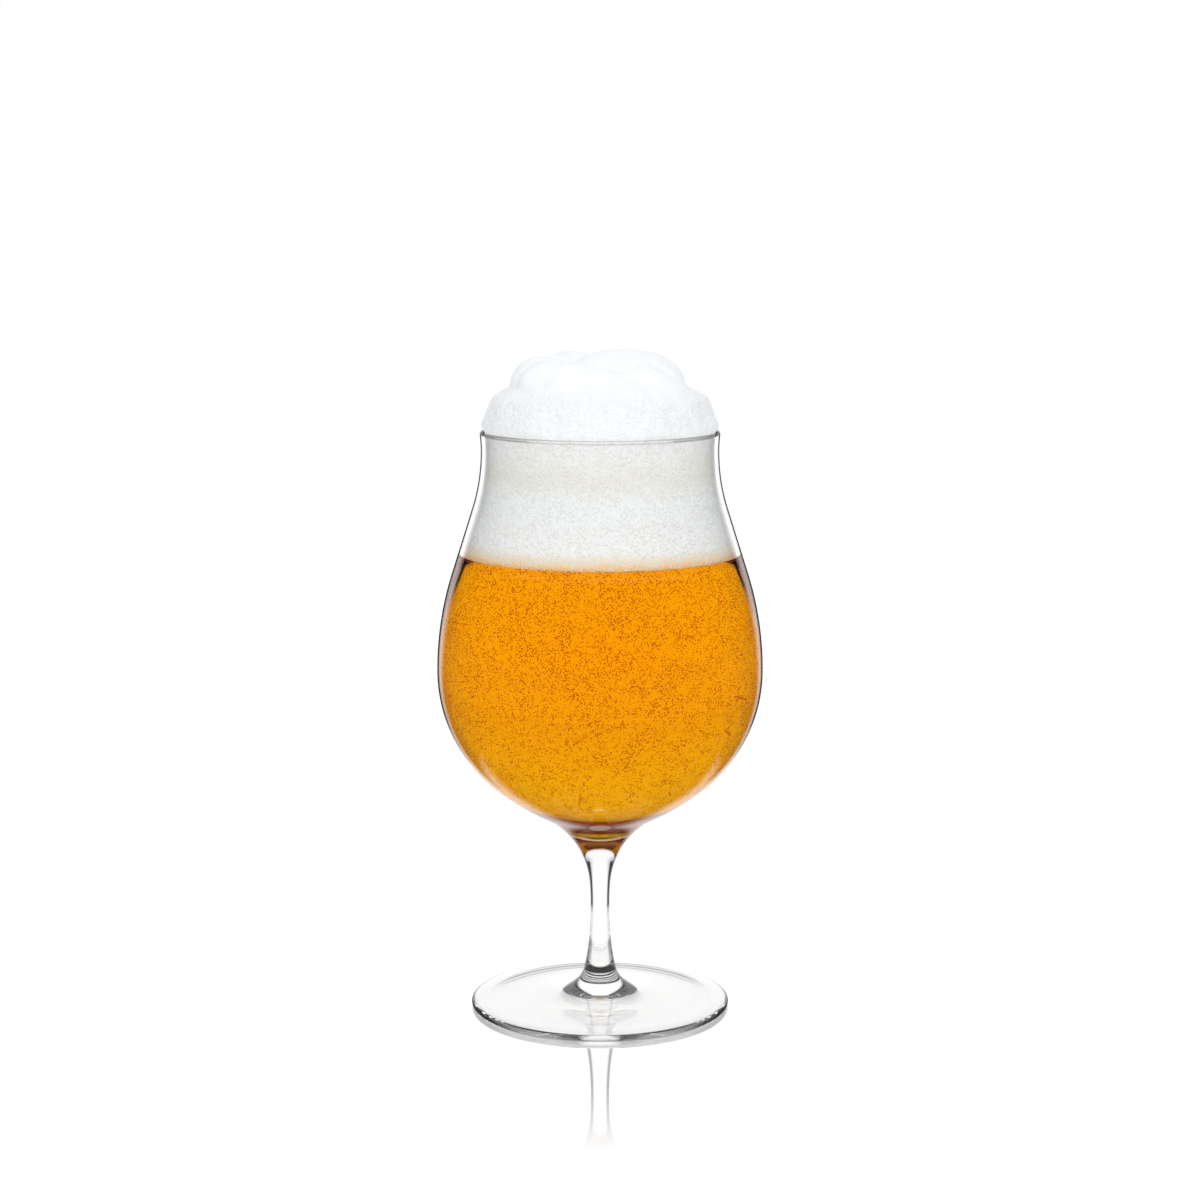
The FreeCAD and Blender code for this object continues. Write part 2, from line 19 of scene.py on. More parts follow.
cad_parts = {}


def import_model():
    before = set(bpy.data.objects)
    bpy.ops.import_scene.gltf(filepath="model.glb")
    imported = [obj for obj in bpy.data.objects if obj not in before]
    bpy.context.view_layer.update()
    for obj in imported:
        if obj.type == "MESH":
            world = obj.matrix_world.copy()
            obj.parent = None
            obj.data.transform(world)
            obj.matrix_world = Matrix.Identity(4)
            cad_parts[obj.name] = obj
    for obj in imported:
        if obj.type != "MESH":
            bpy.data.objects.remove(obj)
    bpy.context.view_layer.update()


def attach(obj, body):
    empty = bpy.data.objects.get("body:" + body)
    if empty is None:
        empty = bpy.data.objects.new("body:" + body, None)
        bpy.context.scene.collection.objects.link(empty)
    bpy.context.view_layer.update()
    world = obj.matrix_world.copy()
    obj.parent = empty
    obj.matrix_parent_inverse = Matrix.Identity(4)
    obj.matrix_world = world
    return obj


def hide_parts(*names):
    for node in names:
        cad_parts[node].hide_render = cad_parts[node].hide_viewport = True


Node = bpy.types.Node
Socket = bpy.types.NodeSocket

MM = 0.001
SKIN_PASSES = 2.5
BEER_PASSES = 4.5
DEEP_SHARE = 0.9
BACKDROP_BLUR = 5.0
PATCH_CONTRAST = 5.0
PORE_GAIN = 12.0
WELD = 1e-4
STEEP = 0.05
log = logging.getLogger("beer_glass")

Colour = tuple[float, float, float, float]
Place = tuple[float, float]
Stretch = tuple[Place, Place]
Point = tuple[float, float, float]
WHITE: Colour = (1.0, 1.0, 1.0, 1.0)


class Slot(Enum):
    """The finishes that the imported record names."""

    GLASS = "clear_glass"
    BEER = "amber_beer"
    FOAM = "beer_foam"


class Steps(Enum):
    """How finely a curve of an outline is divided, in segments."""

    SMALL = 6
    PLAIN = 10
    FINE = 18
    LONG = 26
    CROWN = 88


class Graph:
    """The nodes of one material, world or group, added and joined by short calls."""

    def __init__(self, tree: bpy.types.NodeTree) -> None:
        """Starts on the node tree that the nodes go into."""
        self.tree = tree

    def add(self, kind: str, inputs: dict | None = None, **settings: object) -> Node:
        """Adds one node.

        Args:
            kind: The node's type without its ShaderNode prefix.
            inputs: Values or sockets for its inputs, by name or number.
            settings: The node's own properties.

        Returns:
            The new node.
        """
        node = self.tree.nodes.new("ShaderNode" + kind)
        for name, value in settings.items():
            setattr(node, name, value)
        for name, value in (inputs or {}).items():
            self.feed(node.inputs[name], value)
        return node

    def feed(self, socket: Socket, value: object) -> None:
        """Links a socket to another one, or gives it a plain value.

        Args:
            socket: The input that is fed.
            value: A socket, a node that stands for its first output, a number or a colour.
        """
        if isinstance(value, Node):
            value = value.outputs[0]
        if isinstance(value, Socket):
            self.tree.links.new(value, socket)
        else:
            socket.default_value = value

    def math(self, operation: str, *values: object, clamp: bool = False) -> Socket:
        """The output of a Math node on its inputs in order, kept between 0 and 1 on request."""
        node = self.add("Math", dict(enumerate(values)), operation=operation, use_clamp=clamp)
        return node.outputs[0]

    def blend(self, factor: object, first: object, second: object) -> Socket:
        """A mix of two colours, with the factor as the share of the second."""
        node = self.add("Mix", {0: factor, 6: first, 7: second}, data_type="RGBA")
        return node.outputs[2]

    def span(
        self, value: object, low: float, high: float, at_low: float = 0.0, at_high: float = 1.0
    ) -> Socket:
        """A clamped linear map of a value, which gives at_low at low and at_high at high."""
        inputs = {"Value": value, "From Min": low, "From Max": high, "To Min": at_low, "To Max": at_high}
        return self.add("MapRange", inputs).outputs[0]

    def place(self) -> tuple[Socket, Socket]:
        """The place on the object, and its height."""
        where = self.add("TexCoord").outputs["Object"]
        return where, self.add("SeparateXYZ", {0: where}).outputs["Z"]

    def mix(self, share: object, first: object, second: object) -> Node:
        """A mix of two shaders, with the share of the second."""
        return self.add("MixShader", {0: share, 1: first, 2: second})

    def coat(self, colour: object, roughness: float, clear: float, more: dict) -> Node:
        """A Principled shader without metal, opaque at a clearness of 0 and glassy at 1."""
        plain = {"Base Color": colour, "Roughness": roughness, "Transmission Weight": clear, "Metallic": 0.0}
        return self.add("BsdfPrincipled", plain | more)


def new_material(name: str) -> tuple[bpy.types.Material, Graph, Node]:
    """A node material with nothing but its output.

    Args:
        name: The material's name.

    Returns:
        The material, its graph and its output node.
    """
    material = bpy.data.materials.new(name)
    material.use_nodes = True
    material.node_tree.nodes.clear()
    graph = Graph(material.node_tree)
    return material, graph, graph.add("OutputMaterial")


@dataclass(frozen=True)
class Bubbles:
    """How the shared pattern of bubbles looks in one material."""

    scale: float
    size: float
    patch_scale: float


def make_bubble_group() -> bpy.types.NodeTree:
    """The pattern of fine bubbles that the beer and the foam share.

    Returns:
        A group that gives a mask of round bubbles, thinned out in patches, and their relief.
    """
    tree = bpy.data.node_groups.new("fine_bubbles", "ShaderNodeTree")
    vector = tree.interface.new_socket("Vector", in_out="INPUT", socket_type="NodeSocketVector")
    vector.hide_value = True
    for label in ("Scale", "Size", "Patch scale", "Bare"):
        tree.interface.new_socket(label, in_out="INPUT", socket_type="NodeSocketFloat")
    for label in ("Mask", "Relief"):
        tree.interface.new_socket(label, in_out="OUTPUT", socket_type="NodeSocketFloat")
    graph = Graph(tree)
    given = tree.nodes.new("NodeGroupInput").outputs
    result = tree.nodes.new("NodeGroupOutput")
    cells = graph.add("TexVoronoi", {"Vector": given["Vector"], "Scale": given["Scale"], "Randomness": 1.0})
    where = {"Vector": given["Vector"], "Scale": given["Patch scale"]}
    patches = graph.add("TexNoise", where | {"Detail": 4.0, "Roughness": 0.65})
    thick = graph.math("SUBTRACT", patches, given["Bare"])
    thick = graph.math("MULTIPLY", thick, PATCH_CONTRAST, clamp=True)
    reach = graph.math("MULTIPLY", thick, given["Size"])
    inside = graph.math("SUBTRACT", reach, cells.outputs["Distance"])
    graph.feed(result.inputs["Mask"], graph.math("MULTIPLY", inside, PORE_GAIN, clamp=True))
    graph.feed(result.inputs["Relief"], graph.math("SUBTRACT", 1.0, cells.outputs["Distance"], clamp=True))
    return tree


def place_bubbles(graph: Graph, vector: object, kind: Bubbles, bare: object) -> Node:
    """Places the shared bubble group in a material.

    Args:
        graph: The material's graph.
        vector: The coordinates that the pattern lies on.
        kind: How the pattern looks here.
        bare: How much of the surface stays bare.

    Returns:
        The group's node.
    """
    tree = bpy.data.node_groups.get("fine_bubbles") or make_bubble_group()
    inputs = {"Scale": kind.scale, "Size": kind.size, "Patch scale": kind.patch_scale, "Bare": bare}
    node = graph.tree.nodes.new("ShaderNodeGroup")
    node.node_tree = tree
    graph.feed(node.inputs["Vector"], vector)
    for name, value in inputs.items():
        graph.feed(node.inputs[name], value)
    return node


def let_light_through(graph: Graph, shader: Node, tint: object) -> Node:
    """Lets rays that look for light pass a clear shader as through a tinted sheet.

    Args:
        graph: The material's graph.
        shader: The clear shader.
        tint: What those rays are tinted by.

    Returns:
        The shader for the output.
    """
    path = graph.add("LightPath").outputs
    seeking = graph.math("MAXIMUM", path["Is Shadow Ray"], path["Is Diffuse Ray"])
    sheet = graph.add("BsdfTransparent", {"Color": tint})
    return graph.mix(seeking, shader, sheet)


def thrown_back(graph: Graph, path: bpy.types.bpy_prop_collection) -> Socket:
    """Which rays the glass has mirrored, at its skin or through the beer, and not the table.

    Args:
        graph: The graph of the table or the world.
        path: The outputs of its Light Path node.

    Returns:
        A mask that is 1 for those rays.
    """
    mirrored = graph.math("MINIMUM", path["Glossy Depth"], 1.0)
    mirrored = graph.math("MULTIPLY", mirrored, path["Is Singular Ray"])
    skin = graph.math("LESS_THAN", path["Transmission Depth"], SKIN_PASSES)
    deep = graph.math("GREATER_THAN", path["Transmission Depth"], BEER_PASSES)
    deep = graph.math("MULTIPLY", deep, DEEP_SHARE)
    return graph.math("MULTIPLY", mirrored, graph.math("MAXIMUM", skin, deep))


def backdrop_share(graph: Graph, vector: Socket, half_width: float) -> Socket:
    """How far a place or direction lies before the white backdrop behind the glass.

    Args:
        graph: The graph of the table or the world.
        vector: The place on the table, or the direction.
        half_width: Half the width of the backdrop, in degrees.

    Returns:
        A mask that is 1 before the backdrop.
    """
    flat = graph.add("VectorMath", {0: vector, 1: (1, 1, 0)}, operation="MULTIPLY")
    heading = graph.add("VectorMath", {0: flat}, operation="NORMALIZE")
    ahead = graph.add("SeparateXYZ", {0: heading}).outputs["Y"]
    edges = [cos(radians(half_width + side * BACKDROP_BLUR)) for side in (1, -1)]
    return graph.span(ahead, *edges)


@dataclass(frozen=True)
class ClearGlass:
    """Blown glass: clear, polished, and darker along its edges and the sides of its stem, where dark
    reflections are painted on, with a painted light band over the top of the rim.
    """

    name: str = "clear_blown_glass"
    ior: float = 1.5
    tint: Colour = (0.997, 1.0, 1.0, 1.0)
    shine: float = 0.3
    painted_outline_tint: Colour = (0.13, 0.13, 0.15, 1.0)
    edge: Place = (0.82, 0.89)
    edge_levels: Place = (0.078, 0.092)
    painted_rim_light_tint: Colour = (0.96, 0.94, 0.93, 1.0)
    rim_share: float = 0.62
    rim_levels: Place = (0.1768, 0.1773)
    painted_dark_streak_tint: Colour = (0.002, 0.002, 0.0025, 1.0)
    stem_edge: Place = (0.26, 0.42)
    stem_levels: Stretch = ((0.0265, 0.0315), (0.0455, 0.0480))
    stem_foot_levels: Stretch = ((0.012, 0.016), (0.030, 0.034))
    stem_foot_share: float = 0.35
    streak_drift: Stretch = ((0.127, 0.140), (0.735, 0.655))
    streak_width: Place = (0.022, 0.050)
    streak_levels: Stretch = ((0.123, 0.133), (0.1405, 0.1412))

    def stretch(self, graph: Graph, height: Socket, levels: Stretch) -> Socket:
        """A mask over a stretch of heights, from where it rises to where it falls back."""
        rise, fall = levels
        return graph.math("MULTIPLY", graph.span(height, *rise), graph.span(height, *fall, 1.0, 0.0))

    def painted_dark_streaks(self, graph: Graph, facing: Socket, height: Socket) -> Socket:
        """Where dark reflections are painted on the glass: the sides of the stem, and a streak beside the
        top of the beer.

        Args:
            graph: The material's graph.
            facing: How far the glass turns away.
            height: The height on the glass.

        Returns:
            The mask of the dark edges.
        """
        foot = self.stretch(graph, height, self.stem_foot_levels)
        foot = graph.math("MULTIPLY", foot, self.stem_foot_share)
        stem = graph.math("MAXIMUM", self.stretch(graph, height, self.stem_levels), foot)
        stem = graph.math("MULTIPLY", stem, graph.span(facing, *self.stem_edge))
        levels, drift = self.streak_drift
        aside = graph.math("ABSOLUTE", graph.math("SUBTRACT", facing, graph.span(height, *levels, *drift)))
        streak = graph.span(aside, *self.streak_width, 1.0, 0.0)
        streak = graph.math("MULTIPLY", streak, self.stretch(graph, height, self.streak_levels))
        return graph.math("MAXIMUM", stem, streak)

    def build(self) -> bpy.types.Material:
        """Makes the material.

        Returns:
            The glass material.
        """
        material, graph, out = new_material(self.name)
        facing = graph.add("LayerWeight", {"Blend": 0.5}).outputs["Facing"]
        height = graph.place()[1]
        # Painted dark reflections: the sides of the stem and a streak beside the top of the beer are tinted
        # near black.
        colour = graph.blend(self.painted_dark_streaks(graph, facing, height), self.tint, self.painted_dark_streak_tint)
        surface = graph.coat(colour, 0.0, 1.0, {"IOR": self.ior, "Specular IOR Level": self.shine})
        # Painted dark outline: where the bowl turns away, a dark sheet stands in for dark reflections; over
        # the top of the rim a pale sheet paints the rim lighter.
        edge = graph.math("MULTIPLY", graph.span(facing, *self.edge), graph.span(height, *self.edge_levels))
        over = graph.span(height, *self.rim_levels)
        edge = graph.math("MAXIMUM", edge, graph.math("MULTIPLY", over, self.rim_share))
        rim = graph.add("BsdfTransparent", {"Color": graph.blend(over, self.painted_outline_tint, self.painted_rim_light_tint)})
        surface = graph.mix(edge, surface, rim)
        graph.feed(out.inputs["Surface"], let_light_through(graph, surface, self.tint))
        return material


@dataclass(frozen=True)
class AmberBeer:
    """Clear amber beer that is full of fine bubbles, fewer of them towards the bottom."""

    name: str = "amber_beer"
    ior: float = 1.33
    upper_skin: Colour = (1.0, 0.47, 0.0005, 1.0)
    lower_skin: Colour = (1.0, 0.63, 0.0005, 1.0)
    speck: Colour = (0.27, 0.04, 0.0, 1.0)
    late: Colour = (1.0, 0.82, 0.3, 1.0)
    light_tint: Colour = (1.0, 0.82, 0.5, 1.0)
    depth_colour: Colour = (1.0, 0.62, 0.2, 1.0)
    density: float = 9.0
    painted_bottom_shade: Colour = (0.42, 0.227, 0.0005, 1.0)
    fine: Bubbles = Bubbles(1750.0, 0.42, 420.0)
    coarse: Bubbles = Bubbles(1250.0, 0.34, 150.0)
    bubble_levels: Place = (0.070, 0.125)
    bare: Place = (0.36, 0.30)
    coarse_barer: float = 0.05
    far_specks: float = 0.2
    late_passes: float = 5.5
    bottom_shade_levels: Place = (0.0610, 0.0670)
    skin_levels: Place = (0.066, 0.098)

    def build(self) -> bpy.types.Material:
        """Makes the material.

        Returns:
            The beer material.
        """
        material, graph, out = new_material(self.name)
        where, height = graph.place()
        bare = graph.span(height, *self.bubble_levels, *self.bare)
        fine = place_bubbles(graph, where, self.fine, bare)
        coarse = place_bubbles(graph, where, self.coarse, graph.math("ADD", bare, self.coarse_barer))
        specks = graph.math("MAXIMUM", fine.outputs["Mask"], coarse.outputs["Mask"])
        passes = graph.add("LightPath").outputs["Transmission Depth"]
        near = graph.math("LESS_THAN", passes, SKIN_PASSES)
        specks = graph.math("MULTIPLY", specks, graph.span(near, 0.0, 1.0, self.far_specks, 1.0))
        clear = graph.blend(graph.span(height, *self.skin_levels), self.lower_skin, self.upper_skin)
        # Painted shade: the beer's front skin turns darker brown low in the bowl.
        low = graph.math("MULTIPLY", graph.span(height, *self.bottom_shade_levels, 1.0, 0.0), near)
        clear = graph.blend(low, clear, self.painted_bottom_shade)
        clear = graph.blend(graph.math("GREATER_THAN", passes, self.late_passes), clear, self.late)
        colour = graph.blend(specks, clear, self.speck)
        surface = graph.coat(colour, 0.0, 1.0, {"IOR": self.ior, "Specular IOR Level": 0.0})
        depth = graph.add("VolumeAbsorption", {"Color": self.depth_colour, "Density": self.density})
        graph.feed(out.inputs["Surface"], let_light_through(graph, surface, self.light_tint))
        graph.feed(out.inputs["Volume"], depth)
        return material


@dataclass(frozen=True)
class TinyBubble:
    """The skin of the gas bubbles in the beer, which show as dark amber beads."""

    name: str = "tiny_bubble"
    colour: Colour = (0.92, 0.66, 0.20, 1.0)
    deeper: Colour = (0.74, 0.42, 0.08, 1.0)
    drift_scale: float = 120.0
    drift_span: Place = (0.35, 0.65)
    roughness: float = 0.35
    ior: float = 1.33

    def build(self) -> bpy.types.Material:
        """Makes the material.

        Returns:
            The bubble material.
        """
        material, graph, out = new_material(self.name)
        where = graph.add("TexCoord").outputs["Object"]
        drift = graph.add("TexNoise", {"Vector": where, "Scale": self.drift_scale, "Detail": 3.0})
        colour = graph.blend(graph.span(drift, *self.drift_span), self.colour, self.deeper)
        surface = graph.coat(colour, self.roughness, 0.0, {"IOR": self.ior})
        graph.feed(out.inputs["Surface"], surface)
        return material


@dataclass(frozen=True)
class BeerFoam:
    """Foam: creamy white, beige and coarser in the neck, and tinted by the beer at its foot."""

    surface_level: float
    rim_level: float
    name: str = "beer_foam"
    white: Colour = (0.945, 0.955, 0.96, 1.0)
    creamy: Colour = (0.955, 0.95, 0.925, 1.0)
    beige: Colour = (0.90, 0.88, 0.81, 1.0)
    rose: Colour = (0.92, 0.73, 0.52, 1.0)
    peach: Colour = (0.93, 0.56, 0.24, 1.0)
    amber: Colour = (0.95, 0.60, 0.22, 1.0)
    neck_pore: Colour = (0.82, 0.775, 0.69, 1.0)
    skirt_pore: Colour = (0.60, 0.61, 0.62, 1.0)
    neck_pores: float = 0.62
    skirt_pores: float = 0.13
    grain: Bubbles = Bubbles(1300.0, 0.5, 300.0)
    froth: Bubbles = Bubbles(620.0, 0.42, 90.0)
    grain_bare: float = 0.30
    froth_bare: float = 0.42
    flattened: Point = (1, 1, 2.4)
    smooth: Place = (0.010, 0.016)
    smooth_share: float = 0.12
    rim_blur: float = 0.001
    wander_scale: float = 110.0
    wander_span: Place = (0.3, 0.7)
    wander: float = 0.0005
    bump_strength: float = 0.6
    bump_depth: float = 0.0004
    roughness: float = 0.75

    def build(self) -> bpy.types.Material:
        """Makes the material.

        Returns:
            The foam material.
        """
        material, graph, out = new_material(self.name)
        where, height = graph.place()
        wander = graph.add("TexNoise", {"Vector": where, "Scale": self.wander_scale, "Detail": 4.0})
        level = graph.math("ADD", height, graph.span(wander, *self.wander_span, -self.wander, self.wander))
        above = graph.span(level, self.surface_level, self.rim_level)
        ramp = graph.add("ValToRGB", {"Fac": above})
        stops = [
            (0.0, self.amber),
            (0.018, self.peach),
            (0.05, self.rose),
            (0.13, self.creamy),
            (0.50, self.white),
            (0.68, self.beige),
            (0.86, self.creamy),
            (1.0, self.white),
        ]
        elements = ramp.color_ramp.elements
        while len(elements) < len(stops):
            elements.new(0.5)
        for element, (position, colour) in zip(elements, stops):
            element.position = position
            element.color = colour

        smooth = [self.rim_level + level for level in self.smooth]
        coarse_share = graph.span(height, *smooth, 1.0, self.smooth_share)
        flat = graph.add("VectorMath", {0: where, 1: self.flattened}, operation="MULTIPLY")
        grain = place_bubbles(graph, where, self.grain, self.grain_bare)
        froth = place_bubbles(graph, flat, self.froth, self.froth_bare)
        pores = graph.math("MAXIMUM", grain.outputs["Mask"], froth.outputs["Mask"])
        over_rim = graph.span(height, self.rim_level - self.rim_blur, self.rim_level + self.rim_blur)
        pore = graph.blend(over_rim, self.neck_pore, self.skirt_pore)
        depth = graph.span(over_rim, 0.0, 1.0, self.neck_pores, self.skirt_pores)
        pores = graph.math("MULTIPLY", graph.math("MULTIPLY", pores, coarse_share), depth)
        colour = graph.blend(pores, ramp.outputs["Color"], pore)
        relief = graph.math("ADD", grain.outputs["Relief"], froth.outputs["Relief"])
        relief = graph.math("MULTIPLY", relief, coarse_share)
        bumps = {"Height": relief, "Strength": self.bump_strength, "Distance": self.bump_depth}
        surface = graph.coat(colour, self.roughness, 0.0, {"Normal": graph.add("Bump", bumps)})
        graph.feed(out.inputs["Surface"], surface)
        return material


@dataclass(frozen=True)
class TableTop:
    """The white table: bright to the camera, glossy round the glass, and shaded under it."""

    name: str = "white_table"
    glow: float = 0.72
    cloth: Colour = (0.36, 0.36, 0.36, 1.0)
    gloss_reach: float = 0.132
    gloss: float = 0.55
    gloss_fades_at: float = 0.6
    gloss_roughness: float = 0.02
    gap_start: float = 0.11
    bent_glow: float = 0.84
    front_reach: float = 0.07
    gap_blur: float = 0.03
    backdrop_half_width: float = 35.0
    gloom: float = 0.05

    def build(self) -> bpy.types.Material:
        """Makes the material.

        Returns:
            The table's material.
        """
        material, graph, out = new_material(self.name)
        where = graph.add("TexCoord").outputs["Object"]
        away = graph.add("VectorMath", {0: where}, operation="LENGTH").outputs["Value"]
        path = graph.add("LightPath").outputs
        seen = graph.math("MAXIMUM", path["Is Camera Ray"], path["Is Transmission Ray"])
        seen = graph.math("MAXIMUM", seen, path["Is Glossy Ray"])
        seen = graph.math("MAXIMUM", seen, path["Is Diffuse Ray"])
        matt = graph.add("BsdfDiffuse", {"Color": self.cloth})
        bent = graph.span(path["Is Transmission Ray"], 0.0, 1.0, self.glow, self.bent_glow)
        glow = graph.math("MULTIPLY", seen, bent)
        lamp = graph.add("Emission", {"Color": WHITE, "Strength": glow})
        plain = graph.add("AddShader", {0: matt, 1: lamp})

        aside = graph.math("SUBTRACT", 1.0, backdrop_share(graph, where, self.backdrop_half_width))
        begins = graph.span(away, self.gap_start, self.gap_start + self.gap_blur)
        mirrored = graph.math("MINIMUM", path["Glossy Depth"], 1.0)
        ahead = graph.add("SeparateXYZ", {0: where}).outputs["Y"]
        front = graph.span(ahead, self.front_reach - self.gap_blur, self.front_reach, 1.0, 0.0)
        unseen = graph.math("MULTIPLY", begins, mirrored)
        dark = graph.math("MULTIPLY", aside, unseen)
        dark = graph.math("MAXIMUM", dark, graph.math("MULTIPLY", front, mirrored))
        gloom = graph.add("Emission", {"Color": WHITE, "Strength": self.gloom})
        plain = graph.mix(dark, plain, gloom)
        mirror = graph.add("BsdfGlossy", {"Color": WHITE, "Roughness": self.gloss_roughness})
        near = graph.span(away, self.gloss_fades_at * self.gloss_reach, self.gloss_reach, self.gloss, 0.0)
        shallow = graph.math("LESS_THAN", path["Transmission Depth"], BEER_PASSES)
        near = graph.math("MULTIPLY", near, shallow)
        near = graph.math("MULTIPLY", near, graph.math("SUBTRACT", 1.0, mirrored))
        graph.feed(out.inputs["Surface"], graph.mix(near, plain, mirror))
        return material


def polar(centre: Place, radius: float, angle: float) -> Place:
    """The point at an angle on a circle.

    Args:
        centre: The circle's centre, in radius and height.
        radius: Its radius.
        angle: Where the point is, in degrees.

    Returns:
        The point, in radius and height.
    """
    return (centre[0] + radius * cos(radians(angle)), centre[1] + radius * sin(radians(angle)))


class Section:
    """Half a section, swept on from one vertex by bmesh operators, then spun into a closed skin."""

    def __init__(self, radius: float, height: float) -> None:
        """Sets the first vertex.

        Args:
            radius: Its distance from the axis, in millimetres.
            height: Its height, in millimetres.
        """
        self.mesh = bmesh.new()
        made = bmesh.ops.create_vert(self.mesh, co=(radius, 0, height))
        self.tip = made["vert"][0]

    def run(self, radius: float, height: float, steps: int = 1) -> None:
        """A straight run on to a point.

        Args:
            radius: The point's distance from the axis.
            height: Its height.
            steps: The number of segments.
        """
        step = (Vector((radius, 0, height)) - self.tip.co) / steps
        for _ in range(steps):
            made = bmesh.ops.extrude_vert_indiv(self.mesh, verts=[self.tip])
            self.tip = made["verts"][0]
            bmesh.ops.translate(self.mesh, verts=[self.tip], vec=step)

    def arc(self, centre: Place, turn: float, steps: Steps) -> None:
        """An arc on from the last vertex.

        Args:
            centre: The centre of the arc.
            turn: How far it turns in degrees, anticlockwise with the radius to the right.
            steps: How finely it is divided.
        """
        made = bmesh.ops.spin(
            self.mesh,
            geom=[self.tip],
            cent=(centre[0], 0, centre[1]),
            axis=(0, -1, 0),
            angle=radians(turn),
            steps=steps.value,
        )
        self.tip = next(item for item in made["geom_last"] if isinstance(item, bmesh.types.BMVert))

    def turned(self, sides: int) -> bmesh.types.BMesh:
        """Spins the section a quarter round the axis, mirrors it twice, closes it and brings it to metres.

        Args:
            sides: The number of segments once round the axis.

        Returns:
            The closed skin, with its faces outwards.
        """
        bm = self.mesh
        bmesh.ops.spin(
            bm,
            geom=bm.verts[:] + bm.edges[:],
            cent=(0, 0, 0),
            axis=(0, 0, 1),
            angle=tau / 4,
            steps=sides // 4,
        )
        for axis in ("X", "Y"):
            bmesh.ops.mirror(bm, geom=bm.verts[:] + bm.edges[:] + bm.faces[:], axis=axis, merge_dist=WELD)
        bmesh.ops.remove_doubles(bm, verts=bm.verts[:], dist=WELD)
        bmesh.ops.recalc_face_normals(bm, faces=bm.faces[:])
        bmesh.ops.scale(bm, vec=(MM, MM, MM), verts=bm.verts[:])
        return bm


def make_piece(name: str, bm: bmesh.types.BMesh, material: bpy.types.Material) -> bpy.types.Object:
    """Turns a bmesh into a smooth-shaded object of one material.

    Args:
        name: The object's name.
        bm: The mesh, in metres, which is freed.
        material: Its finish.

    Returns:
        The new object.
    """
    mesh = bpy.data.meshes.new(name)
    for face in bm.faces:
        face.smooth = True
    bm.to_mesh(mesh)
    bm.free()
    mesh.materials.append(material)
    piece = bpy.data.objects.new(name, mesh)
    bpy.context.scene.collection.objects.link(piece)
    return piece


